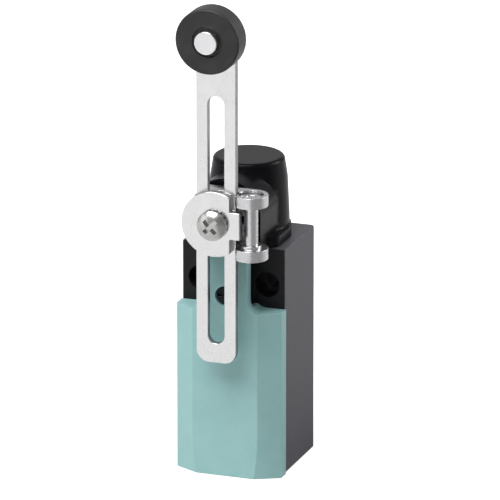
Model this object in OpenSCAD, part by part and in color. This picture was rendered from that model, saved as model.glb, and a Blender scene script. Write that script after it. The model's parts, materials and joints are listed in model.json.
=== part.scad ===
// Limit switch with a slotted, length-adjustable roller lever on a turning head.
// The model is built from the bottom front edge of the base and then moved, so that
// the origin is the centre of the two fixing holes on the rear mounting face.
// X runs across the switch, +Y to its rear and +Z up. All sizes are in millimetres.

/* [Base housing] */
// Width of the base
base_w = 31; // [30.6:0.1:31.4]
// Depth of the base, from the cover's joint to the rear face
base_d = 25.86; // [25.5:0.02:26.5]
// Height of the base
base_h = 67.1; // [66.8:0.1:69]
// Thickness of the base's walls
wall = 2.2; // [2:0.1:2.4]
// Distance between the two fixing holes
hole_pitch = 20; // [19.5:0.1:21]
// Diameter of a fixing hole
hole_d = 4.3; // [4.1:0.1:4.5]
// Diameter of the counterbore around a fixing hole
counterbore_d = 7.2; // [6.8:0.1:7.4]
// Distance from the top of the base to the fixing holes
hole_drop = 10.8; // [10.6:0.1:11]

/* [Cable entry] */
// Diameter of the threaded cable entry, at the thread's crest
entry_d = 18.5; // [18:0.1:18.8]
// Length of the cable entry
entry_len = 10.5; // [9:0.5:11]

/* [Front cover] */
// Width of the cover
cover_w = 31.74; // [31.5:0.02:32]
// Depth of the cover in front of the base
cover_t = 7.6; // [7.4:0.1:7.6]
// Depth of the cover's straight sides, up to the bevel
cover_side = 3.87; // [3.6:0.01:4.2]
// Width of the flat front facet between the bevels
facet_w = 19.7; // [19:0.1:20.4]
// Distance from the top of the base down to the cover's shoulders
shoulder_drop = 17.6; // [17.3:0.1:17.8]
// Width of the tongue that rises between the fixing holes
tongue_w = 13.2; // [12.6:0.1:13.4]
// Radius between the tongue and the shoulders
tongue_fillet = 3.2; // [2.4:0.1:3.4]

/* [Head] */
// Radius of the head at its collar
collar_r = 12.1; // [11.9:0.1:12.4]
// Height of the head above the base
head_h = 23.3; // [22.8:0.1:23.6]
// Height of the lever's shaft above the base
shaft_rise = 11.2; // [11.1:0.1:11.4]
// Radius of the boss that carries the shaft
boss_r = 10.4; // [9.8:0.1:10.6]
// How far the boss stands in front of the base
boss_reach = 6.5; // [6.2:0.1:6.8]
// Diameter of the shaft
shaft_d = 8; // [7.8:0.1:8]

/* [Lever] */
// Width of the lever bar
bar_w = 11.9; // [11.6:0.1:12]
// Thickness of the lever bar
bar_t = 2.05; // [1.9:0.05:2.05]
// Width of the lever's slot
slot_w = 4.9; // [4.7:0.1:5.1]
// Height of the roller's axis above the shaft
roller_rise = 54.9; // [54:0.1:56]
// Distance from the shaft to the lever's lower end
bar_drop = 41.9; // [41:0.1:43]
// Radius of the round clamp plate
plate_r = 9.6; // [9.4:0.1:9.8]

/* [Roller] */
// Diameter of the roller
roller_d = 19; // [18:0.1:19]
// Width of the roller
roller_w = 6.8; // [6.5:0.1:7]

/* [Hidden] */
$fn = 64;

// Heights are measured from the bottom of the base, depths from the cover's joint
hole_z = base_h - hole_drop;
shoulder_z = base_h - shoulder_drop;
shaft_z = base_h + shaft_rise;
roller_z = shaft_z + roller_rise;
axis_y = base_d / 2;
run_gap = 0.3;
overcut = 1;

// Inside of the base
chamber_top = 47;
socket_z = 60.4;
socket_r = 8.6;
well_r = 3.8;
counterbore_t = 4;
spine_w = 12.2;
spine_t = 4;
spine_top = base_h - 1.1;
cover_screw_z = 54.1;
lock_z = 62.5;
lock_t = 1.2;
lock_w = 10;
gasket_t = 0.8;
gasket_w = 1.1;
gasket_half_w = 14.9;
gasket_bottom = 0.9;
gasket_top = shoulder_z - 0.9;

// Cover
cover_wall = 2;
tongue_t = cover_t - spine_t;
tongue_top = base_h - 0.8;

// Contact block
block_w = 25.6;
block_y = 6.2;
block_bottom = 24.5;
block_top = 46.4;
cavity_w = 16.8;
terminal_x = 10.2;
closed_terminal_z = 41;
open_terminal_z = 30.6;
closed_finger_z = 38.6;
open_finger_z = 33.6;
strip_t = 1;
tab_h = 6;
block_screw_z = 35.8;
bridge_z = 37.3;
bridge_t = 0.8;
stem_r = 2;
stem_bottom = 35.2;

// Head
drum_z = base_h + run_gap;
chamber_r = 8;
chamber_floor = 70;
chamber_roof = 86.9;
flange_r = 10.4;
spigot_r = 8.5;
spigot_z = socket_z + run_gap;
pocket_r = 5.8;
pocket_z = 63.5;
follower_r = 3.4;
follower_top = shaft_z - 6.8;
bush_r = 5.5;
bush_front = -3.5;
seal_r = 6.5;
journal_r = 2.5;
fit = 0.04;
o_ring_z = 65.8;
o_ring_wire_r = 0.65;

// Lever clamp, counted from the front of the base towards the front
bracket_rear = -8;
bar_rear = -12.65;
plate_rear = -14.75;
plate_t = 2.4;
washer_t = 0.7;
ear_x = 9.9;
ear_y = -12.9;
ear_r = 4.9;
ear_t = 3.25;
ear_half_gap = 6.22;
ear_mid_z = shaft_z - 0.65;
hub_front = -12.6;
clamp_screw_r = 2;
lever_screw_r = 2;
slot_top_rise = 34.6;
slot_bottom_drop = 33.75;
roller_rear = -15.3;
roller_washer_t = 0.5;
pin_r = 2.5;

// Moves the model so that the fixing holes' centre on the rear face is the origin
module placed() {
    translate([0, -base_d, -hole_z]) children();
}

// Gives an outline drawn in X and Z a thickness t, from depth y towards the front
module front_plate(y, t) {
    translate([0, y, 0]) rotate([90, 0, 0]) linear_extrude(t) children();
}

// A round bar along Y, from depth y towards the front
module front_rod(r, y, t, x = 0, z = 0) {
    translate([x, y, z]) rotate([90, 0, 0]) cylinder(r = r, h = t);
}

// A ring along Y, from depth y towards the front
module front_ring(r_out, r_in, y, t, z) {
    difference() {
        front_rod(r_out, y, t, 0, z);
        front_rod(r_in, y + overcut, t + 2 * overcut, 0, z);
    }
}

// A block centred on X, from y0 to y1 and z0 to z1
module block(w, y0, y1, z0, z1) {
    translate([-w / 2, y0, z0]) cube([w, y1 - y0, z1 - z0]);
}

// Points along an arc of radius r about (cx, cy)
function arc(cx, cy, r, a0, a1, steps = 8) =
    [for (i = [0 : steps]) [cx + r * cos(a0 + (a1 - a0) * i / steps), cy + r * sin(a0 + (a1 - a0) * i / steps)]];

// A coil spring about Z: radius to the wire's middle, wire radius, ends and number of turns
module coil(r, wire_r, z0, z1, turns) {
    sides = 8;
    rings = turns * 20;
    pitch = (z1 - z0 - 2 * wire_r) / rings;
    points = [
        for (i = [0 : rings], j = [0 : sides - 1])
        let (a = 360 * turns * i / rings, b = 360 * j / sides, rr = r + wire_r * cos(b))
        [rr * cos(a), rr * sin(a), z0 + wire_r + pitch * i + wire_r * sin(b)]
    ];
    walls = [
        for (i = [0 : rings - 1], j = [0 : sides - 1])
        let (k = (j + 1) % sides)
        [i * sides + j, i * sides + k, (i + 1) * sides + k, (i + 1) * sides + j]
    ];
    start_cap = [for (j = [sides - 1 : -1 : 0]) j];
    end_cap = [for (j = [0 : sides - 1]) rings * sides + j];
    polyhedron(points, concat(walls, [start_cap, end_cap]), convexity = 10);
}

// ---- Base ----

module base_outline() {
    c = 0.8;
    h = base_w / 2;
    polygon([[-h, 0], [h, 0], [h, base_d - c], [h - c, base_d], [c - h, base_d], [-h, base_d - c]]);
}

module gasket_outline() {
    inner = gasket_half_w - gasket_w;
    difference() {
        translate([-gasket_half_w, gasket_bottom]) square([2 * gasket_half_w, gasket_top - gasket_bottom]);
        translate([-inner, gasket_bottom + gasket_w])
            square([2 * inner, gasket_top - gasket_bottom - 2 * gasket_w]);
    }
}

module base_housing() {
    placed() color("dimgray") difference() {
        union() {
            linear_extrude(base_h) base_outline();
            block(spine_w, -spine_t, overcut, shoulder_z, spine_top);
        }
        // Wiring and contact chamber, open to the front
        block(base_w - 2 * wall, -overcut, base_d - wall, entry_len, chamber_top);
        // Threaded cable entry
        translate([0, axis_y, -overcut]) cylinder(d = entry_d, h = entry_len + 2 * overcut);
        // Well for the plunger, and the socket that takes the head
        translate([0, axis_y, chamber_top - overcut]) cylinder(r = well_r, h = socket_z - chamber_top + 2 * overcut);
        translate([0, axis_y, socket_z]) cylinder(r = socket_r, h = base_h);
        // Fixing holes
        for (side = [-1, 1]) {
            front_rod(hole_d / 2, base_d + overcut, base_d + 2 * overcut, side * hole_pitch / 2, hole_z);
            front_rod(counterbore_d / 2, counterbore_t, counterbore_t + overcut, side * hole_pitch / 2, hole_z);
            front_rod(1.25, base_d - 0.8, wall, side * terminal_x, block_screw_z);
        }
        // Tapped hole for the cover screw
        front_rod(1.5, 6, 6 + spine_t + overcut, 0, cover_screw_z);
        // Slot for the head's lock slide
        block(lock_w + 0.2, -spine_t - overcut, axis_y - 7, lock_z - 0.1, lock_z + lock_t + 0.1);
        // Groove for the gasket
        front_plate(gasket_t, gasket_t + overcut) gasket_outline();
    }
}

module cover_gasket() {
    placed() color([0.12, 0.12, 0.12]) front_plate(gasket_t, gasket_t) gasket_outline();
}

module head_lock_slide() {
    placed() color("silver") difference() {
        block(lock_w, 0.3 - spine_t, axis_y - 7.2, lock_z, lock_z + lock_t);
        translate([0, -1.8, lock_z - overcut]) cylinder(r = 0.9, h = lock_t + 2 * overcut);
    }
}

// ---- Front cover ----

module cover_outline(inset) {
    w = cover_w / 2 - inset;
    f = facet_w / 2 - inset * 0.45;
    side = cover_side - inset * 0.6;
    polygon([[-w, 0], [-w, -side], [-f, inset - cover_t], [f, inset - cover_t], [w, -side], [w, 0]]);
}

module tongue_outline() {
    h = tongue_w / 2;
    translate([-h, shoulder_z - 1]) square([tongue_w, tongue_top - shoulder_z + 1]);
    fillet_outline(h - 1);
}

// The rounded corners beside the tongue, from half-width h0 outwards
module fillet_outline(h0) {
    r = tongue_fillet;
    w = tongue_w / 2 + r - h0;
    for (side = [-1, 1]) difference() {
        translate([side > 0 ? h0 : -h0 - w, shoulder_z - 1]) square([w, r + 1]);
        translate([side * (h0 + w), shoulder_z + r]) circle(r = r);
    }
}

module front_cover() {
    placed() color([0.6, 0.76, 0.76]) difference() {
        union() {
            linear_extrude(shoulder_z) cover_outline(0);
            front_plate(-spine_t, tongue_t) tongue_outline();
            // The lower part of the corners runs back beside the spine
            intersection() {
                front_plate(0, spine_t + overcut) fillet_outline(spine_w / 2 + 0.2);
                block(cover_w, -cover_t, 0, 0, shoulder_z + tongue_fillet / 3);
            }
        }
        // Hollow over the terminals, open to the rear
        translate([0, 0, cover_wall]) linear_extrude(shoulder_z - 2 * cover_wall) hollow_outline();
        // Recess and hole for the cover screw
        front_rod(2.9, 2.4 - cover_t, 2.4 + overcut, 0, cover_screw_z);
        front_rod(1.6, 0, cover_t + overcut, 0, cover_screw_z);
    }
}

module hollow_outline() {
    cover_outline(cover_wall);
    translate([cover_wall - cover_w / 2, 0]) square([cover_w - 2 * cover_wall, overcut]);
}

module cover_screw() {
    head_y = 2.4 - cover_t;
    placed() color([0.3, 0.3, 0.32]) difference() {
        union() {
            front_rod(2.7, head_y, 1.8, 0, cover_screw_z);
            front_rod(1.5, 5.5, 5.5 - head_y + 0.5, 0, cover_screw_z);
        }
        block(7, head_y - 3, head_y - 0.9, cover_screw_z - 0.4, cover_screw_z + 0.4);
    }
}

// ---- Contact block ----

module at_terminals() {
    for (side = [-1, 1], z = [closed_terminal_z, open_terminal_z]) translate([side * terminal_x, 0, z]) children();
}

module contact_block_body() {
    placed() color([0.85, 0.83, 0.76]) difference() {
        block(block_w, block_y, base_d - wall, block_bottom, block_top);
        block(cavity_w, block_y - overcut, 18, block_bottom + 3, block_top - 2.8);
        translate([0, axis_y, block_top - 4]) cylinder(r = stem_r + 0.06, h = 6);
        at_terminals() front_rod(1.5, 12.2, 8);
        for (side = [-1, 1]) front_rod(1.25, base_d, base_d, side * terminal_x, block_screw_z);
    }
}

module contact_block_cover() {
    placed() color([0.8, 0.78, 0.7]) block(14.2, block_y - 1.2, block_y, block_bottom + 1.5, block_top - 1.4);
}

module contact_block_screws() {
    placed() color("silver") for (side = [-1, 1]) difference() {
        union() {
            front_rod(1.9, block_y, 1.6, side * terminal_x, block_screw_z);
            front_rod(1.25, base_d - 0.9, base_d - 0.9 - block_y + 0.5, side * terminal_x, block_screw_z);
        }
        translate([side * terminal_x, 0, block_screw_z]) block(5, block_y - 2, block_y - 0.9, -0.3, 0.3);
    }
}

// One pair of fixed contacts: a finger over the bridge, a riser and a tab under the terminal screw
module fixed_contacts(finger_z, terminal_z, riser_z) {
    for (side = [-1, 1]) mirror([side < 0 ? 1 : 0, 0, 0]) {
        translate([4.5, axis_y - 2, finger_z]) cube([3.8, 4, strip_t]);
        translate([7.3, block_y - 1, riser_z]) cube([strip_t, axis_y + 3 - block_y, 3]);
        difference() {
            translate([7.3, block_y - 1, terminal_z - tab_h / 2]) cube([5.4, strip_t, tab_h]);
            front_rod(1.55, block_y + 1, 4, terminal_x, terminal_z);
        }
    }
}

module normally_closed_contacts() {
    placed() color("peru") fixed_contacts(closed_finger_z, closed_terminal_z, closed_finger_z);
}

module normally_open_contacts() {
    placed() color("peru") fixed_contacts(open_finger_z, open_terminal_z, open_finger_z + strip_t - 3);
}

module terminal_screws() {
    placed() color("silver") at_terminals() difference() {
        union() {
            front_rod(2.6, 4.2, 2);
            front_rod(1.5, 12, 8);
        }
        block(6, 1, 3.2, -0.4, 0.4);
    }
}

module terminal_clamps() {
    placed() color("gold") at_terminals() difference() {
        block(5, block_y - 2, block_y - 1, -2.5, 2.5);
        front_rod(1.55, block_y, 4);
    }
}

module contact_spring() {
    placed() color("silver") translate([0, axis_y, 0]) coil(1.6, 0.35, block_bottom + 3.1, stem_bottom, 7);
}

module contact_plunger() {
    placed() color([0.9, 0.3, 0.2]) translate([0, axis_y, 0]) {
        translate([0, 0, stem_bottom]) cylinder(r = stem_r, h = spigot_z + 0.2 - stem_bottom);
        translate([0, 0, spigot_z - 1.3]) cylinder(r = 2.8, h = 1.5);
    }
}

module moving_contact_bridge() {
    placed() color("gold") translate([0, axis_y, bridge_z]) difference() {
        union() {
            block(14, -3, 3, 0, bridge_t);
            for (side = [-1, 1]) translate([side * 5.8, 0, -0.2]) cylinder(r = 1.1, h = bridge_t + 0.4);
        }
        translate([0, 0, -overcut]) cylinder(r = stem_r, h = 4);
    }
}

// ---- Head ----

module drum_outline() {
    edge = 1.2;
    top_r = 10.35;
    top_edge = arc(top_r - edge, head_h - edge, edge, 0, 90);
    polygon(concat(
        [[0, run_gap], [collar_r, run_gap], [collar_r, 3.2], [collar_r - 0.45, 3.7]],
        [[collar_r - 0.5, 6.4], [11.1, 17.2]],
        top_edge,
        [[0, head_h]]
    ));
}

module boss_outline() {
    translate([0, shaft_z]) circle(r = boss_r);
    translate([-boss_r, drum_z]) square([2 * boss_r, shaft_z - drum_z]);
}

// Rounded front foot under the boss, drawn in X and Y
module foot_outline() {
    w = 25.6;
    r = 3;
    y0 = 0.5;
    translate([r - w / 2, y0]) square([w - 2 * r, axis_y - y0]);
    translate([-w / 2, y0 + r]) square([w, axis_y - y0 - r]);
    for (side = [-1, 1]) translate([side * (w / 2 - r), y0 + r]) circle(r = r);
}

module head_housing() {
    placed() color([0.12, 0.12, 0.13]) difference() {
        union() {
            translate([0, axis_y, base_h]) rotate_extrude($fn = 96) drum_outline();
            front_plate(axis_y, axis_y + boss_reach) boss_outline();
            translate([0, 0, drum_z]) linear_extrude(2.9) foot_outline();
        }
        // Recess for the head base, and the cam's chamber above it
        translate([0, axis_y, drum_z - overcut]) cylinder(r = flange_r, h = chamber_floor - drum_z + overcut);
        translate([0, axis_y, chamber_floor - overcut]) cylinder(r = chamber_r, h = chamber_roof - chamber_floor + overcut);
        // Bores for the bush, the seal and the shaft's rear journal
        front_rod(bush_r, axis_y, axis_y - bush_front, 0, shaft_z);
        front_rod(seal_r, bush_front, 5, 0, shaft_z);
        front_rod(journal_r + fit, base_d - 2.6, 8, 0, shaft_z);
    }
}

module head_base() {
    placed() color([0.16, 0.16, 0.17]) translate([0, axis_y, 0]) difference() {
        union() {
            translate([0, 0, drum_z]) cylinder(r = flange_r, h = chamber_floor - drum_z);
            translate([0, 0, spigot_z]) cylinder(r = spigot_r, h = drum_z - spigot_z + overcut);
        }
        translate([0, 0, spigot_z - overcut]) cylinder(r = follower_r + 0.05, h = 20);
        translate([0, 0, pocket_z]) cylinder(r = pocket_r, h = 20);
        ring_groove(lock_z - run_gap, lock_t + 2 * run_gap, 6.9);
        ring_groove(o_ring_z - 0.8, 1.6, 7.2);
    }
}

// A groove around the spigot, from height z, h high and down to radius r
module ring_groove(z, h, r) {
    translate([0, 0, z]) difference() {
        cylinder(r = spigot_r + overcut, h = h);
        translate([0, 0, -overcut]) cylinder(r = r, h = h + 2 * overcut);
    }
}

module head_o_ring() {
    placed() color([0.1, 0.1, 0.1]) translate([0, axis_y, o_ring_z]) rotate_extrude()
        translate([7.22 + o_ring_wire_r, 0]) circle(r = o_ring_wire_r);
}

module shaft_bush() {
    placed() color("goldenrod") front_ring(bush_r, shaft_d / 2 + fit, 4.6, 4.6 - bush_front, shaft_z);
}

module shaft_seal() {
    placed() color([0.1, 0.1, 0.1]) front_ring(seal_r, shaft_d / 2 + 0.06, bush_front, 2.7, shaft_z);
}

module cam_follower() {
    placed() color("ivory") translate([0, axis_y, 0]) {
        translate([0, 0, spigot_z + 0.2]) cylinder(r = follower_r, h = follower_top - spigot_z - 0.7);
        translate([0, 0, follower_top - 1.4]) cylinder(r = 5.5, h = 1.4);
    }
}

module head_return_spring() {
    placed() color("silver") translate([0, axis_y, 0]) coil(4.55, 0.4, pocket_z + 0.1, follower_top - 1.4, 5);
}

// ---- Shaft ----

module drive_shaft() {
    groove_y = 6.2;
    placed() color("silver") difference() {
        union() {
            front_rod(shaft_d / 2, base_d - 6, base_d - 6.1 - hub_front, 0, shaft_z);
            front_rod(journal_r, base_d - 2.9, 4, 0, shaft_z);
        }
        front_rod(lever_screw_r, -4, 10, 0, shaft_z);
        front_ring(6, 3.4, groove_y, 0.8, shaft_z);
        translate([0, axis_y, shaft_z]) rotate([0, 90, 0]) cylinder(r = 1, h = 20, center = true);
    }
}

module shaft_circlip() {
    placed() color("dimgray") difference() {
        front_ring(5, 3.4, 6.2, 0.8, shaft_z);
        block(3, 4, 8, shaft_z - 6, shaft_z);
    }
}

module cam() {
    cam_r = 6.5;
    flat = 4.4;
    placed() color("gainsboro") difference() {
        front_ring(cam_r, shaft_d / 2, axis_y + 3, 6, shaft_z);
        block(20, axis_y - 5, axis_y + 5, shaft_z - 10, shaft_z - flat);
        translate([0, axis_y, shaft_z]) rotate([0, 90, 0]) cylinder(r = 1, h = 20, center = true);
    }
}

module cam_pin() {
    placed() color("silver") translate([0, axis_y, shaft_z]) rotate([0, 90, 0]) cylinder(r = 1, h = 11.6, center = true);
}

// ---- Lever clamp ----

module at_ear() {
    translate([ear_x, ear_y, ear_mid_z]) children();
}

// The upper and lower flange, each with its round ear
module flanges() {
    left = bar_w / 2;
    for (z = [ear_half_gap, -ear_half_gap - ear_t]) {
        translate([-left, hub_front, ear_mid_z + z]) cube([left + ear_x, bracket_rear - hub_front, ear_t]);
        translate([ear_x, ear_y, ear_mid_z + z]) cylinder(r = ear_r, h = ear_t);
    }
}

module lever_bracket() {
    reach = ear_half_gap + ear_t;
    collar_t = 0.8;
    placed() color("whitesmoke") difference() {
        union() {
            flanges();
            front_rod(6.2, bracket_rear, bracket_rear - hub_front, 0, shaft_z);
            block(9, hub_front, bracket_rear, ear_mid_z - reach, ear_mid_z + reach);
            translate([0, -10.4, ear_mid_z - reach]) cube([9.8, bracket_rear + 10.4, 2 * reach]);
            at_ear() translate([0, 0, -ear_half_gap - 0.5]) cylinder(r = 2.9, h = collar_t + 0.5);
        }
        // Bore for the shaft, and the slit that lets the hub close on it
        front_rod(shaft_d / 2, 0, 20, 0, shaft_z);
        translate([0, -20, shaft_z - 1.2]) cube([20, 20, 2.4]);
        // Room for the lever bar beside the ears
        translate([-10, hub_front - 10, shaft_z - 20]) cube([bar_w / 2 + 10.3, 10, 40]);
        // Holes for the clamp screw: counterbored above, tapped below
        at_ear() {
            translate([0, 0, -reach - overcut]) cylinder(r = clamp_screw_r, h = 2 * reach + 2 * overcut);
            translate([0, 0, 0]) cylinder(r = clamp_screw_r + 0.2, h = reach + overcut);
            translate([0, 0, reach - 2.2]) cylinder(r = 3.6, h = 3);
        }
    }
}

module bracket_clamp_screw() {
    reach = ear_half_gap + ear_t;
    placed() color("silver") at_ear() difference() {
        union() {
            translate([0, 0, 0.2 - reach]) cylinder(r = clamp_screw_r, h = 2 * reach - 1.5);
            translate([0, 0, reach - 2.2]) cylinder(r = 3.05, h = 1.5);
        }
        translate([0, 0, reach - 1.7]) cylinder(r = 1.5, h = 3, $fn = 6);
    }
}

module clamp_plate() {
    tab_w = 8;
    tab_reach = 7.9;
    flat_x = 4.9;
    placed() color("whitesmoke") front_plate(plate_rear, plate_t) difference() {
        union() {
            difference() {
                translate([0, shaft_z]) circle(r = plate_r);
                translate([flat_x, shaft_z - 15]) square([15, 30]);
            }
            translate([0, shaft_z - tab_w / 2]) square([tab_reach, tab_w]);
        }
        translate([0, shaft_z]) circle(r = lever_screw_r + 0.1);
    }
}

module lever_washer() {
    placed() color("gray") front_ring(4.4, lever_screw_r + 0.1, plate_rear - plate_t, washer_t, shaft_z);
}

// Pan head drawn about Z with its crown up, then laid along Y
module lever_screw() {
    head_y = plate_rear - plate_t - washer_t;
    head_r = 4.35;
    rim = 0.9;
    crown = 1.6;
    crown_r = (head_r * head_r + crown * crown) / (2 * crown);
    half = asin(head_r / crown_r);
    cross_w = 1.25;
    cross_l = 5;
    placed() color("silver") difference() {
        union() {
            translate([0, head_y, shaft_z]) rotate([90, 0, 0]) rotate_extrude()
                polygon(concat([[0, 0], [head_r, 0]], arc(0, rim + crown - crown_r, crown_r, 90 - half, 90)));
            front_rod(lever_screw_r, -4.5, -4.5 - head_y + 0.2, 0, shaft_z);
        }
        translate([0, 0, shaft_z]) for (turn = [45, 135]) rotate([0, turn, 0])
            block(cross_l, head_y - 5, head_y - 0.8, -cross_w / 2, cross_w / 2);
    }
}

// ---- Lever and roller ----

module bar_outline() {
    h = bar_w / 2;
    r = 3.6;
    bottom = shaft_z - bar_drop;
    slot_top = shaft_z + slot_top_rise;
    slot_bottom = shaft_z - slot_bottom_drop;
    difference() {
        union() {
            translate([-h, bottom + r]) square([bar_w, roller_z - bottom - r]);
            translate([r - h, bottom]) square([bar_w - 2 * r, 2 * r]);
            for (side = [-1, 1]) translate([side * (h - r), bottom + r]) circle(r = r);
            translate([0, roller_z]) circle(r = h);
        }
        translate([-slot_w / 2, slot_bottom]) square([slot_w, slot_top - slot_bottom]);
        for (z = [slot_bottom, slot_top]) translate([0, z]) circle(r = slot_w / 2);
        translate([0, roller_z]) circle(r = pin_r);
    }
}

module lever_bar() {
    placed() color("whitesmoke") front_plate(bar_rear, bar_t) bar_outline();
}

module roller_pin() {
    head_y = roller_rear - roller_w + 0.7;
    placed() color("gainsboro") {
        front_rod(pin_r, bar_rear, bar_rear - head_y + 0.5, 0, roller_z);
        front_rod(3.35, head_y, 2, 0, roller_z);
        front_rod(3.4, bar_rear + 1, 1, 0, roller_z);
    }
}

module roller_washer() {
    placed() color("silver") front_ring(4.2, pin_r + fit, bar_rear - bar_t, roller_washer_t, roller_z);
}

module roller_bush() {
    placed() color("goldenrod") front_ring(3.3, pin_r + fit, roller_rear, roller_w - 0.8, roller_z);
}

module roller() {
    r = roller_d / 2;
    edge = 0.6;
    bore = 3.3;
    recess_r = 4.4;
    recess_t = 0.8;
    placed() color([0.15, 0.15, 0.15]) translate([0, roller_rear, roller_z]) rotate([90, 0, 0])
        rotate_extrude($fn = 96) polygon(concat(
            [[bore, 0]],
            arc(r - edge, edge, edge, -90, 0, 4),
            arc(r - edge, roller_w - edge, edge, 0, 90, 4),
            [[recess_r, roller_w], [recess_r, roller_w - recess_t], [bore, roller_w - recess_t]]
        ));
}

base_housing();
front_cover();
cover_gasket();
cover_screw();
head_lock_slide();
contact_block_body();
contact_block_cover();
contact_block_screws();
normally_closed_contacts();
normally_open_contacts();
terminal_screws();
terminal_clamps();
contact_spring();
contact_plunger();
moving_contact_bridge();
cam_follower();
head_return_spring();
head_housing();
head_base();
head_o_ring();
shaft_bush();
shaft_seal();
drive_shaft();
shaft_circlip();
cam();
cam_pin();
lever_bracket();
bracket_clamp_screw();
clamp_plate();
lever_washer();
lever_screw();
lever_bar();
roller_pin();
roller_washer();
roller_bush();
roller();
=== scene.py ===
import json
import math

import bmesh
import bpy
from mathutils import Matrix, Vector


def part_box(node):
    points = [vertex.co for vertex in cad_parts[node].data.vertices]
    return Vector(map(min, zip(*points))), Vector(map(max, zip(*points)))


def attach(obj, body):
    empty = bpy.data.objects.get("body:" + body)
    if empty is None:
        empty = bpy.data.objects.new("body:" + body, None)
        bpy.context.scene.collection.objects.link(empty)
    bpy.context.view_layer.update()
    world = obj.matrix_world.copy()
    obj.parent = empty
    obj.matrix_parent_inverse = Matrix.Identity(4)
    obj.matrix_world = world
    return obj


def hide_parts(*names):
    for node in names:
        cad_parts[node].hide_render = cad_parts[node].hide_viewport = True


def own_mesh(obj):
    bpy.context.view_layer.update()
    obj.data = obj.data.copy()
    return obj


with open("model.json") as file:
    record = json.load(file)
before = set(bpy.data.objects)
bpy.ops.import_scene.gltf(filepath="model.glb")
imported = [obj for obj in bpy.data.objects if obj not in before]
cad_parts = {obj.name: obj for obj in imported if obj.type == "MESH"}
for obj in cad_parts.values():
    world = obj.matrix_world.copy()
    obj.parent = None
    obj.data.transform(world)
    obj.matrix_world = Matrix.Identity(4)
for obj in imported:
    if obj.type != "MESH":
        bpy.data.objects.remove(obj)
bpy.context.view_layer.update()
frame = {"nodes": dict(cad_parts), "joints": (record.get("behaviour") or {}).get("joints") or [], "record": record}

# ---- Camera ----
# A long lens well back from the switch, a little to its right and above it. It aims from the
# base's bottom front edge, where the cover meets the base.
joint_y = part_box("cover_gasket")[0].y
ground_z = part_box("base_housing")[0].z
azimuth = math.radians(19.74)
elevation = math.radians(17.84)
camera_distance = 2.2516
shift_right = 0.004644
shift_up = 0.062465
towards_camera = Vector((
    math.sin(azimuth) * math.cos(elevation),
    -math.cos(azimuth) * math.cos(elevation),
    math.sin(elevation),
))
camera_right = Vector((math.cos(azimuth), math.sin(azimuth), 0.0))
camera_up = towards_camera.cross(camera_right)
camera = bpy.data.objects.new("camera", bpy.data.cameras.new("camera"))
camera.data.sensor_width = 36.0
camera.data.lens = 564.6
camera.data.clip_end = 20.0
foot = Vector((0.0, joint_y, ground_z))
camera.location = (
    foot + towards_camera * camera_distance + camera_right * shift_right + camera_up * shift_up
)
camera.rotation_mode = "QUATERNION"
camera.rotation_quaternion = (-towards_camera).to_track_quat("-Z", "Y")
bpy.context.collection.objects.link(camera)
bpy.context.scene.camera = camera
bpy.context.scene.view_settings.view_transform = "Standard"

# ---- Studio ----
# A white paper floor in a white room, a big softbox high above the lens, a weak one on the left
# and one behind on the right. Room and paper send the switch less light from the right, and
# both still look white to the lens. None of it is the switch.
class Value:
    """One socket in a node tree. Sums and products of values add their Math nodes."""

    def __init__(self, nodes, socket):
        self.nodes = nodes
        self.socket = socket

    def math(self, operation, first, second):
        return self.nodes.add("ShaderNodeMath", {"operation": operation}, {0: first, 1: second})

    def __add__(self, other):
        return self.math("ADD", self, other)

    def __radd__(self, other):
        return self.math("ADD", other, self)

    def __sub__(self, other):
        return self.math("SUBTRACT", self, other)

    def __rsub__(self, other):
        return self.math("SUBTRACT", other, self)

    def __mul__(self, other):
        return self.math("MULTIPLY", self, other)

    def __rmul__(self, other):
        return self.math("MULTIPLY", other, self)


class Nodes:
    """A node tree that is built up one call at a time."""

    def __init__(self, tree):
        self.tree = tree

    def add(self, kind, settings=None, inputs=None, output=0):
        """Adds a node with its settings first, then the values or links of its sockets."""
        node = self.tree.nodes.new(kind)
        for name, value in (settings or {}).items():
            setattr(node, name, value)
        for name, value in (inputs or {}).items():
            if isinstance(value, Value):
                self.tree.links.new(value.socket, node.inputs[name])
            else:
                node.inputs[name].default_value = value
        return Value(self, node.outputs[output])

    def between(self, value, low, high):
        """0 up to low, 1 from high, and smooth between them."""
        sockets = {"Value": value, "From Min": low, "From Max": high}
        return self.add("ShaderNodeMapRange", {"interpolation_type": "SMOOTHSTEP"}, sockets)


world = bpy.data.worlds.new("white_room")
world.use_nodes = True
room = Nodes(world.node_tree)
direction = room.add("ShaderNodeTexCoord", output="Generated")
direction_x = room.add("ShaderNodeSeparateXYZ", None, {"Vector": direction}, output="X")
direction_y = room.add("ShaderNodeSeparateXYZ", None, {"Vector": direction}, output="Y")
direction_z = room.add("ShaderNodeSeparateXYZ", None, {"Vector": direction}, output="Z")
behind = room.between(direction_y, -0.4, 0.3)
to_the_right = room.between(direction_x, 0.0, 0.35)
above = room.between(direction_z, 0.1, 0.6)
seen = room.add("ShaderNodeLightPath", output="Is Camera Ray")
lit = (behind * 0.2 + 0.45) * (1.0 - above * 0.3) * (1.0 - to_the_right * 0.45)
background = world.node_tree.nodes["Background"]
world.node_tree.links.new((lit + seen).socket, background.inputs["Strength"])
background.inputs["Color"].default_value = (1.0, 1.0, 1.0, 1.0)
bpy.context.scene.world = world

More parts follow.
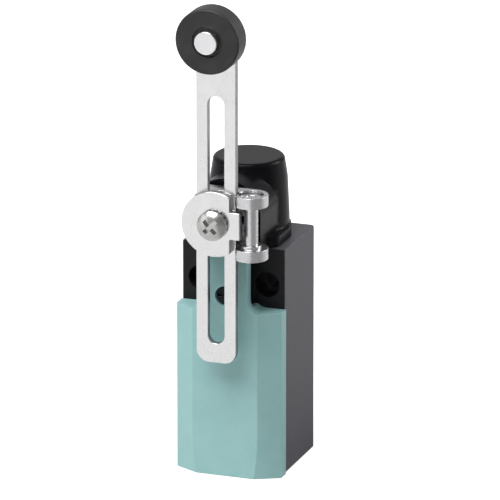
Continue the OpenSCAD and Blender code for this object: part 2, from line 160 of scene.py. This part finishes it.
paper = bpy.data.materials.new("white_paper")
paper.use_nodes = True
sheet = Nodes(paper.node_tree)
paper_shader = paper.node_tree.nodes["Principled BSDF"]
paper_shader.inputs["Roughness"].default_value = 0.9
paper_shader.inputs["Emission Color"].default_value = (1.0, 1.0, 1.0, 1.0)
spot = sheet.add("ShaderNodeTexCoord", output="Object")
spot_x = sheet.add("ShaderNodeSeparateXYZ", None, {"Vector": spot}, output="X")
spot_y = sheet.add("ShaderNodeSeparateXYZ", None, {"Vector": spot}, output="Y")
dim_from_x = 0.0099
dim_from_y = -0.0388
dim_heading = (0.974, 0.225)
across = (spot_x - dim_from_x) * dim_heading[0] + (spot_y - dim_from_y) * dim_heading[1]
dim = sheet.between(across, -0.004, 0.02) * sheet.between(spot_y * -1.0, -0.15, 0.05)
shown = sheet.add("ShaderNodeLightPath", output="Is Camera Ray")
grey = (1.0 - shown) * dim * -0.36 + 0.6
tone = sheet.add("ShaderNodeCombineColor", None, {"Red": grey, "Green": grey, "Blue": grey})
paper.node_tree.links.new(tone.socket, paper_shader.inputs["Base Color"])
paper.node_tree.links.new((shown * 0.8).socket, paper_shader.inputs["Emission Strength"])
floor_mesh = bpy.data.meshes.new("floor")
floor_half = 6.0
floor_z = ground_z - 0.0002
floor_corners = [(x * floor_half, y * floor_half, floor_z) for x, y in ((-1, -1), (1, -1), (1, 1), (-1, 1))]
floor_mesh.from_pydata(floor_corners, [], [(0, 1, 2, 3)])
floor_mesh.materials.append(paper)
floor = bpy.data.objects.new("floor", floor_mesh)
bpy.context.collection.objects.link(floor)


def softbox(name, place, size, power):
    """One square softbox that faces the middle of the switch."""
    light = bpy.data.objects.new(name, bpy.data.lights.new(name, "AREA"))
    light.data.size = size
    light.data.energy = power
    light.location = place
    light.rotation_mode = "QUATERNION"
    light.rotation_quaternion = (Vector(place) * -1).to_track_quat("-Z", "Y")
    bpy.context.collection.objects.link(light)


softbox("key_softbox", (-0.3, -0.8, 1.5), 1.3, 35.0)
softbox("left_softbox", (-1.5, -1.1, 0.45), 1.2, 3.5)
softbox("rear_softbox", (1.4, 0.9, 0.7), 1.0, 15.0)


# ---- Base housing ----
# The body is moulded in dark grey glass-filled polyamide. Its upper front, where the two fixing holes are
# counterbored, is coloured near-black as painted shade for the shadow under the head's overhang. Its lower end is
# threaded for a cable gland.
cover_rim = 0.0009
cover_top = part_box("cover_gasket")[1].z + cover_rim


class Finish(Nodes):
    """A surface finish: a material, and the patterns that its recipe is written with."""

    def __init__(self, name):
        self.material = bpy.data.materials.new(name)
        self.material.use_nodes = True
        super().__init__(self.material.node_tree)
        self.shader = self.tree.nodes["Principled BSDF"]

    def place(self, stretch=(1.0, 1.0, 1.0)):
        """The point on the piece, in metres, multiplied along each axis by stretch."""
        point = self.add("ShaderNodeTexCoord", output="Object")
        sockets = {"Vector": point, "Scale": stretch}
        return self.add("ShaderNodeMapping", {"vector_type": "POINT"}, sockets)

    def grain(self, size, stretch=(1.0, 1.0, 1.0), detail=3.0, rough=0.55):
        """Smooth random grain from 0 to 1, size metres across."""
        sockets = {"Vector": self.place(stretch), "Scale": 1.0 / size, "Detail": detail, "Roughness": rough}
        return self.add("ShaderNodeTexNoise", {"noise_dimensions": "3D"}, sockets)

    def worn(self):
        """1 on the rounded edges of a softened piece."""
        return self.add("ShaderNodeAttribute", {"attribute_name": "worn"}, output="Fac")

    def cut(self):
        """1 on the sheared sides of a piece punched from sheet."""
        return self.add("ShaderNodeAttribute", {"attribute_name": "cut"}, output="Fac")

    def blend(self, share, first, second):
        """A colour from first to second."""
        return self.add("ShaderNodeMix", {"data_type": "RGBA"}, {0: share, 6: first, 7: second}, output=2)

    def bump(self, height, depth):
        """Relief of the given height pattern, depth metres from its low to its high."""
        return self.add("ShaderNodeBump", None, {"Height": height, "Strength": 1.0, "Distance": depth})

    def surface(self, **sockets):
        """Sets the shader's sockets, named in lower case with underscores."""
        for name, value in sockets.items():
            socket = self.shader.inputs[name.replace("_", " ").title().replace("Ior", "IOR")]
            if isinstance(value, Value):
                self.tree.links.new(value.socket, socket)
            else:
                socket.default_value = value
        return self.material


def colour(red, green, blue):
    return (red, green, blue, 1.0)


def moulded_plastic(name, body, pale, rough, grain_size, depth, gloss=0.4):
    """A spark-eroded mould's texture, faint flow mottling, scuffs, and rubbed edges."""
    finish = Finish(name)
    mottle = finish.between(finish.grain(0.006, detail=4.0), 0.35, 0.7)
    speck = finish.between(finish.grain(0.0007, detail=2.0), 0.62, 0.72)
    scuff = finish.between(finish.grain(0.0022, (1.0, 1.0, 0.25), detail=5.0, rough=0.7), 0.6, 0.75)
    rubbed = finish.worn() * finish.between(finish.grain(0.0015, detail=4.0), 0.42, 0.62)
    shade = finish.blend(mottle * 0.3 + speck * 0.12, body, pale)
    shade = finish.blend(rubbed * 0.55 + scuff * 0.05, shade, pale)
    texture = finish.grain(grain_size, detail=2.5, rough=0.6)
    return finish.surface(
        base_color=shade,
        roughness=rough + mottle * 0.05 - scuff * 0.08 - rubbed * 0.1,
        specular_ior_level=gloss,
        normal=finish.bump(texture, depth),
    )


def softened(name, node, width, steps=3, sharp=35.0, reshape=None, punched=False, chosen=None):
    """A piece with the CAD node's shape and its sharp edges rounded to width, marked as worn.

    With chosen, only the edges for which it is true are rounded. The side faces of a part
    punched from sheet along Y are marked as cut.
    """
    weld = 2e-6
    flat = math.radians(0.4)
    crease = math.radians(40.0)
    mesh = frame["nodes"][node].data.copy()
    mesh.materials.clear()
    shape = bmesh.new()
    shape.from_mesh(mesh)
    bmesh.ops.remove_doubles(shape, verts=shape.verts, dist=weld)
    bmesh.ops.dissolve_limit(shape, angle_limit=flat, verts=shape.verts, edges=shape.edges)
    if reshape:
        reshape(shape)
    worn = shape.faces.layers.float.new("worn")
    edges = [
        edge for edge in shape.edges
        if len(edge.link_faces) == 2 and edge.calc_face_angle() > math.radians(sharp)
    ]
    if chosen:
        edges = [edge for edge in edges if chosen(edge)]
    rounded = bmesh.ops.bevel(
        shape, geom=edges, offset=width, offset_type="OFFSET", segments=steps, profile=0.5,
        affect="EDGES", clamp_overlap=not chosen, miter_outer="ARC", face_strength_mode="ALL",
    )
    for face in rounded["faces"]:
        face[worn] = 1.0
    if punched:
        cut = shape.faces.layers.float.new("cut")
        for face in shape.faces:
            face[cut] = 1.0 if abs(face.normal.y) < 0.4 else 0.0
    for face in shape.faces:
        face.smooth = True
    shape.to_mesh(mesh)
    shape.free()
    mesh.set_sharp_from_angle(angle=crease)
    piece = bpy.data.objects.new(name, mesh)
    bpy.context.collection.objects.link(piece)
    even = piece.modifiers.new("even_normals", "WEIGHTED_NORMAL")
    even.keep_sharp = True
    even.use_face_influence = True
    return settled(piece)


def settled(piece):
    """Gives the piece the mesh that its modifiers make, and takes them off."""
    graph = bpy.context.evaluated_depsgraph_get()
    mesh = bpy.data.meshes.new_from_object(piece.evaluated_get(graph))
    piece.modifiers.clear()
    piece.data = mesh
    return piece


def coat(piece, material):
    """Puts one finish on the whole piece."""
    piece.data.materials.clear()
    piece.data.materials.append(material)
    return piece


housing_plastic = moulded_plastic(
    "housing_plastic", colour(0.092, 0.089, 0.102), colour(0.13, 0.127, 0.14), 0.45, 0.00035, 0.000012, 0.25
)
# A near-black finish for the base's upper front: painted shade for the shadow under the head, not a colour of the
# moulding.
shaded_front_plastic = moulded_plastic(
    "painted_shade_front", colour(0.008, 0.008, 0.009), colour(0.02, 0.02, 0.022), 0.4, 0.0004, 0.00001, 0.2
)


def split_at_cover_top(shape):
    """Cuts the front and the sides level with the top of the cover, where the painted shade on the upper front
    starts.
    """
    everything = [*shape.verts, *shape.edges, *shape.faces]
    point = (0.0, 0.0, cover_top)
    bmesh.ops.bisect_plane(shape, geom=everything, plane_co=point, plane_no=(0.0, 0.0, 1.0))


base_low, base_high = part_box("base_housing")


def on_skin(edge):
    """True for an edge on the outside of the moulding, including the rims of its holes."""
    near = 1e-5
    for point in (vertex.co for vertex in edge.verts):
        at_end = min(abs(point.z - base_low.z), abs(point.z - base_high.z)) < near
        on_side = abs(abs(point.x) - base_high.x) < near
        on_upper_front = point.z > cover_top and abs(point.y - joint_y) < near
        on_rear = point.y > base_high.y - near
        if not (at_end or on_side or on_upper_front or on_rear):
            return False
    return True


# How far back and how wide the painted shade on the upper front reaches.
shade_front_depth = 0.0045
shade_front_half = 0.01535
base_shell = softened("base_shell", "base_housing", 0.0003, reshape=split_at_cover_top, chosen=on_skin)
coat(base_shell, housing_plastic)
# The front faces above the cover get the near-black finish: painted shade for the shadow under the head's
# overhang.
base_shell.data.materials.append(shaded_front_plastic)
for face in base_shell.data.polygons:
    in_front = face.center.z > cover_top and face.center.y < joint_y + shade_front_depth
    if in_front and abs(face.center.x) < shade_front_half:
        face.material_index = 1
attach(base_shell, "base")
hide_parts("base_housing")


# The gland's thread is moulded in the lower end: a helix of rounded crests at a 1.5 mm pitch.
def thread(name, radius, crest, pitch, length, turn_steps=40):
    """A helix of thread crests about Z, from z = 0 up to length, centred on radius."""
    group = bpy.data.node_groups.new(name, "GeometryNodeTree")
    group.interface.new_socket("Geometry", in_out="OUTPUT", socket_type="NodeSocketGeometry")
    inputs = {"Radius": radius, "Crest": crest, "Length": length, "Turns": length / pitch}
    for label in inputs:
        group.interface.new_socket(label, in_out="INPUT", socket_type="NodeSocketFloat")
    nodes = Nodes(group)
    start = group.nodes.new("NodeGroupInput")
    given = {label: Value(nodes, start.outputs[label]) for label in inputs}
    helix = nodes.add("GeometryNodeCurveSpiral", None, {
        "Resolution": turn_steps, "Rotations": given["Turns"], "Start Radius": given["Radius"],
        "End Radius": given["Radius"], "Height": given["Length"],
    })
    section = nodes.add("GeometryNodeCurvePrimitiveCircle", None, {"Resolution": 6, "Radius": given["Crest"]})
    sweep = {"Curve": helix, "Profile Curve": section, "Fill Caps": True}
    swept = nodes.add("GeometryNodeCurveToMesh", None, sweep)
    return grown(name, group, nodes, swept, inputs)


def grown(name, group, nodes, geometry, inputs):
    """Ends a geometry tree, sets its inputs and returns its result as a plain piece."""
    made = nodes.add("GeometryNodeRealizeInstances", None, {"Geometry": geometry})
    material = bpy.data.materials.new(name + "_blank")
    finished = nodes.add("GeometryNodeSetMaterial", None, {"Geometry": made, "Material": material})
    end = group.nodes.new("NodeGroupOutput")
    group.links.new(finished.socket, end.inputs["Geometry"])
    piece = bpy.data.objects.new(name, bpy.data.meshes.new(name))
    bpy.context.collection.objects.link(piece)
    maker = piece.modifiers.new(name, "NODES")
    maker.node_group = group
    for item in group.interface.items_tree:
        if item.in_out == "INPUT":
            maker[item.identifier] = inputs[item.name]
    bpy.context.view_layer.update()
    return settled(piece)


entry = next(m for m in frame["record"]["mounts"] if m["name"] == "cable_entry")
entry_radius = entry["dims"]["r_mm"] / 1000.0
entry_length = entry["dims"]["length_mm"] / 1000.0
thread_pitch = 0.0015
thread_crest = 0.0005
thread_margin = 0.00125
thread_length = entry_length - thread_margin * 2
entry_thread = thread("entry_thread", entry_radius + 0.0001, thread_crest, thread_pitch, thread_length)
thread_foot = Vector(entry["pos_m"]) - Vector((0.0, 0.0, thread_length / 2))
entry_thread.data.transform(Matrix.Translation(thread_foot))
coat(entry_thread, housing_plastic)
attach(entry_thread, "base")


# ---- Front cover ----
# A thin turquoise moulding that closes the wiring space. Its bevels widen a little towards the
# bottom, and its tongue carries the one captive screw.
cover_low, cover_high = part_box("front_cover")
facet_half = 0.00985
facet_narrowing = 0.0011
narrowing_height = 0.012


def narrow_facet(shape):
    """Draws the front facet's side edges inwards over the cover's lowest stretch."""
    steps = 5
    for step in range(1, steps + 1):
        point = (0.0, 0.0, cover_low.z + narrowing_height * step / steps)
        everything = [*shape.verts, *shape.edges, *shape.faces]
        bmesh.ops.bisect_plane(shape, geom=everything, plane_co=point, plane_no=(0.0, 0.0, 1.0))
    for vertex in shape.verts:
        share = 1.0 - (vertex.co.z - cover_low.z) / narrowing_height
        on_edge = abs(abs(vertex.co.x) - facet_half) < 1e-4 and vertex.co.y < cover_low.y + 1e-5
        if on_edge and share > 0.0:
            vertex.co.x -= math.copysign(facet_narrowing * share ** 1.6, vertex.co.x)


cover_plastic = moulded_plastic(
    "cover_plastic", colour(0.285, 0.5, 0.495), colour(0.36, 0.58, 0.575), 0.44, 0.0003, 0.000012
)
cover_shell = softened("cover_shell", "front_cover", 0.0007, sharp=28.0, reshape=narrow_facet)
coat(cover_shell, cover_plastic)
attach(cover_shell, "base")
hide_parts("front_cover")


# The captive screw is blackened steel, sunk in the tongue.
def metal(name, body, dull, rough, grain_size, depth, stretch=(1.0, 1.0, 1.0), polish=0.12):
    """Bare or plated metal: fine surface grain, cloudy handling marks and brighter worn edges."""
    finish = Finish(name)
    cloud = finish.between(finish.grain(0.004, detail=5.0, rough=0.65), 0.3, 0.75)
    fine = finish.grain(grain_size, stretch, detail=4.0, rough=0.7)
    scratch = finish.between(finish.grain(0.0012, (0.12, 1.0, 1.0), detail=6.0, rough=0.8), 0.63, 0.7)
    edge = finish.worn() * finish.between(fine, 0.3, 0.6)
    shade = finish.blend(cloud * 0.45 + fine * 0.3, body, dull)
    shade = finish.blend(edge * 0.5, shade, body)
    sheared = finish.cut()
    tear = finish.between(finish.grain(0.0002, (1.0, 0.15, 1.0), detail=3.0, rough=0.8), 0.35, 0.65)
    shade = finish.blend(sheared * (tear * 0.25 + 0.62), shade, colour(0.2, 0.2, 0.205))
    dulled = cloud * 0.07 + (fine - 0.5) * 0.12 + scratch * 0.08
    return finish.surface(
        base_color=shade,
        metallic=1.0,
        roughness=rough + dulled - edge * polish + sheared * 0.12,
        normal=finish.bump(fine, depth),
    )


black_steel = metal(
    "black_steel", colour(0.05, 0.05, 0.055), colour(0.02, 0.02, 0.022), 0.32, 0.0004, 0.000004
)
cover_screw = coat(softened("cover_screw_head", "cover_screw", 0.00018), black_steel)
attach(cover_screw, "base")
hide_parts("cover_screw")


# ---- Inside the base ----
# The gasket, the lock slide and the contact block are fitted before the cover goes on. They are
# made of rubber, cream thermoset, copper alloy, plastic and zinc-plated steel.
zinc_steel = metal("zinc_steel", colour(0.66, 0.66, 0.65), colour(0.4, 0.4, 0.39), 0.22, 0.0008, 0.00002)
copper_alloy = metal("copper_alloy", colour(0.78, 0.45, 0.28), colour(0.55, 0.3, 0.17), 0.3, 0.0004, 0.000004)
plated_brass = metal("plated_brass", colour(0.8, 0.66, 0.38), colour(0.6, 0.47, 0.24), 0.28, 0.0004, 0.000004)
spring_wire = metal("spring_wire", colour(0.58, 0.58, 0.6), colour(0.4, 0.4, 0.42), 0.24, 0.0003, 0.000003)
rubber = moulded_plastic(
    "nitrile_rubber", colour(0.014, 0.014, 0.015), colour(0.04, 0.04, 0.042), 0.7, 0.0004, 0.00001, 0.25
)
thermoset = moulded_plastic(
    "cream_thermoset", colour(0.66, 0.62, 0.52), colour(0.8, 0.77, 0.68), 0.42, 0.0004, 0.00001
)
red_plastic = moulded_plastic(
    "red_plastic", colour(0.5, 0.035, 0.022), colour(0.66, 0.09, 0.06), 0.38, 0.0004, 0.000008
)
acetal = moulded_plastic(
    "white_acetal", colour(0.72, 0.71, 0.66), colour(0.85, 0.84, 0.8), 0.33, 0.0004, 0.000006
)
inner_finishes = {
    rubber: ("cover_gasket", "head_o_ring", "shaft_seal"),
    thermoset: ("contact_block_body", "contact_block_cover"),
    copper_alloy: ("normally_closed_contacts", "normally_open_contacts", "moving_contact_bridge"),
    plated_brass: ("terminal_clamps",),
    red_plastic: ("contact_plunger",),
    acetal: ("cam_follower",),
    spring_wire: ("shaft_circlip",),
    zinc_steel: (
        "head_lock_slide", "contact_block_screws", "terminal_screws", "drive_shaft", "cam", "cam_pin",
    ),
}
for material, nodes in inner_finishes.items():
    for node in nodes:
        coat(frame["nodes"][node], material)

# ---- Springs ----
# Two coil springs of hard-drawn wire. Each stands on the base at its lower end and keeps its CAD
# length; it does not follow the plunger.
plunger_joint = next(joint for joint in frame["joints"] if joint["name"] == "plunger_travel")
plunger_stroke = plunger_joint["range_m"][1]
for name, node in (("return_coil", "head_return_spring"), ("contact_coil", "contact_spring")):
    source = frame["nodes"][node]
    coil = bpy.data.objects.new(name, source.data.copy())
    bpy.context.scene.collection.objects.link(coil)
    coil.data.transform(source.matrix_world)
    coat(coil, spring_wire)
    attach(coil, "base")
    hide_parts(node)
    low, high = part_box(node)
    length = high.z - low.z
    (length - plunger_stroke) / length
    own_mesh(coil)

# ---- Head ----
# The drum, its shaft boss and the foot are one black moulding with a satin gloss. It turns on
# a separate base ring, and the shaft runs in a bronze bush behind a rubber seal.
head_black = moulded_plastic(
    "head_black", colour(0.004, 0.004, 0.0055), colour(0.013, 0.013, 0.016), 0.22, 0.0005, 0.000006, 0.1
)
head_shell = coat(softened("head_shell", "head_housing", 0.0006), head_black)
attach(head_shell, "head")
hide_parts("head_housing")
coat(frame["nodes"]["head_base"], head_black)
bronze = metal("bush_bronze", colour(0.62, 0.44, 0.22), colour(0.42, 0.28, 0.13), 0.34, 0.0003, 0.000008)
for node in ("shaft_bush", "roller_bush"):
    coat(frame["nodes"][node], bronze)

# ---- Lever bracket ----
# A bright tumbled die casting. Its split hub closes on the shaft when the vertical screw draws
# the two round ears together.
cast_metal = metal(
    "cast_metal", colour(0.75, 0.75, 0.76), colour(0.6, 0.6, 0.62), 0.24, 0.0011, 0.00003, polish=0.08
)
bracket = coat(softened("bracket_casting", "lever_bracket", 0.00035), cast_metal)
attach(bracket, "shaft")
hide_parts("lever_bracket")
clamp_screw = coat(softened("ear_clamp_screw", "bracket_clamp_screw", 0.0002), cast_metal)
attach(clamp_screw, "shaft")
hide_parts("bracket_clamp_screw")

# ---- Lever bar and clamp plate ----
# Both are stamped from bright stainless strip, rolled and lightly brushed along the lever. The
# plate, a toothed washer and a cross-recess screw hold the bar against the bracket.
along_lever = (1.0, 1.0, 0.02)
sheet_steel = metal(
    "sheet_steel", colour(0.87, 0.865, 0.87), colour(0.8, 0.795, 0.8), 0.22, 0.0003, 0.000003,
    along_lever, 0.05,
)
bar = coat(softened("slotted_bar", "lever_bar", 0.00022, punched=True), sheet_steel)
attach(bar, "lever")
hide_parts("lever_bar")
plate = coat(softened("tabbed_plate", "clamp_plate", 0.00025, punched=True), sheet_steel)
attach(plate, "shaft")
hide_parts("clamp_plate")
screw = coat(softened("lever_screw_head", "lever_screw", 0.0002), zinc_steel)
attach(screw, "shaft")
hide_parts("lever_screw")


# The washer under the screw is a spring-steel lock washer with twisted teeth around its rim.
def lock_washer(name, ring_radius, reach, thickness, teeth, turn):
    """Teeth about Z that stand askew out to reach, centred on z = 0; the flat ring is made apart."""
    group = bpy.data.node_groups.new(name, "GeometryNodeTree")
    group.interface.new_socket("Geometry", in_out="OUTPUT", socket_type="NodeSocketGeometry")
    inputs = {"Radius": ring_radius, "Reach": reach, "Thickness": thickness, "Turn": turn}
    for label in inputs:
        group.interface.new_socket(label, in_out="INPUT", socket_type="NodeSocketFloat")
    nodes = Nodes(group)
    start = group.nodes.new("NodeGroupInput")
    given = {label: Value(nodes, start.outputs[label]) for label in inputs}
    rim_radius = (given["Radius"] + given["Reach"]) * 0.5
    rim = nodes.add("GeometryNodeMeshCircle", None, {"Vertices": teeth, "Radius": rim_radius})
    size = nodes.add("ShaderNodeCombineXYZ", None, {
        "X": given["Reach"] - given["Radius"],
        "Y": given["Reach"] * (3.6 / teeth),
        "Z": given["Thickness"] * 0.55,
    })
    tooth = nodes.add("GeometryNodeMeshCube", None, {"Size": size})
    index = nodes.add("GeometryNodeInputIndex")
    angle = index * (2.0 * math.pi / teeth)
    heading = nodes.add("ShaderNodeCombineXYZ", None, {"X": given["Turn"], "Z": angle})
    facing = nodes.add("FunctionNodeEulerToRotation", None, {"Euler": heading})
    ring_of_teeth = nodes.add(
        "GeometryNodeInstanceOnPoints", None, {"Points": rim, "Instance": tooth, "Rotation": facing}
    )
    return grown(name, group, nodes, ring_of_teeth, inputs)


def flat_ring(name, inner, outer, thickness, sides=64):
    """A plain flat ring about Z, centred on z = 0."""
    corners = [(inner, -1), (outer, -1), (outer, 1), (inner, 1)]
    points = []
    for step in range(sides):
        angle = 2 * math.pi * step / sides
        points += [(r * math.cos(angle), r * math.sin(angle), side * thickness / 2) for r, side in corners]
    walls = []
    for step in range(sides):
        here, there = step * 4, (step + 1) % sides * 4
        walls += [(here + k, there + k, there + (k + 1) % 4, here + (k + 1) % 4) for k in range(4)]
    mesh = bpy.data.meshes.new(name)
    mesh.from_pydata(points, [], walls)
    piece = bpy.data.objects.new(name, mesh)
    bpy.context.collection.objects.link(piece)
    return piece


washer_low, washer_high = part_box("lever_washer")
washer_middle = (washer_low + washer_high) / 2
washer_reach = (washer_high.x - washer_low.x) / 2
washer_thickness = washer_high.y - washer_low.y
stand = Matrix.Translation(washer_middle) @ Matrix.Rotation(math.radians(90.0), 4, "X")
washer_bore = 0.0021
tooth_root = washer_reach - 0.0009
tooth_tip = washer_reach - 0.0001
tooth_turn = 0.42
washer_ring = flat_ring("lock_washer_ring", washer_bore, washer_reach - 0.0007, washer_thickness * 0.55)
washer_teeth = lock_washer("lock_washer_teeth", tooth_root, tooth_tip, washer_thickness, 16, tooth_turn)
for piece in (washer_ring, washer_teeth):
    piece.data.transform(stand)
    coat(piece, spring_wire)
    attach(piece, "shaft")
    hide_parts("lever_washer")

# ---- Roller ----
# A black acetal roller turned from bar, with a bronze bush, on a bright pin that is riveted
# over behind the lever bar.
roller_plastic = moulded_plastic(
    "roller_plastic", colour(0.018, 0.018, 0.019), colour(0.05, 0.05, 0.052), 0.4, 0.0005, 0.00001, 0.4
)
wheel = coat(softened("roller_tyre", "roller", 0.0003), roller_plastic)
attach(wheel, "roller")
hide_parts("roller")
bright_steel = metal(
    "bright_steel", colour(0.93, 0.93, 0.94), colour(0.84, 0.84, 0.86), 0.3, 0.0004, 0.000003
)
pin = coat(softened("riveted_pin", "roller_pin", 0.00025), bright_steel)
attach(pin, "lever")
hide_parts("roller_pin")
coat(frame["nodes"]["roller_washer"], zinc_steel)
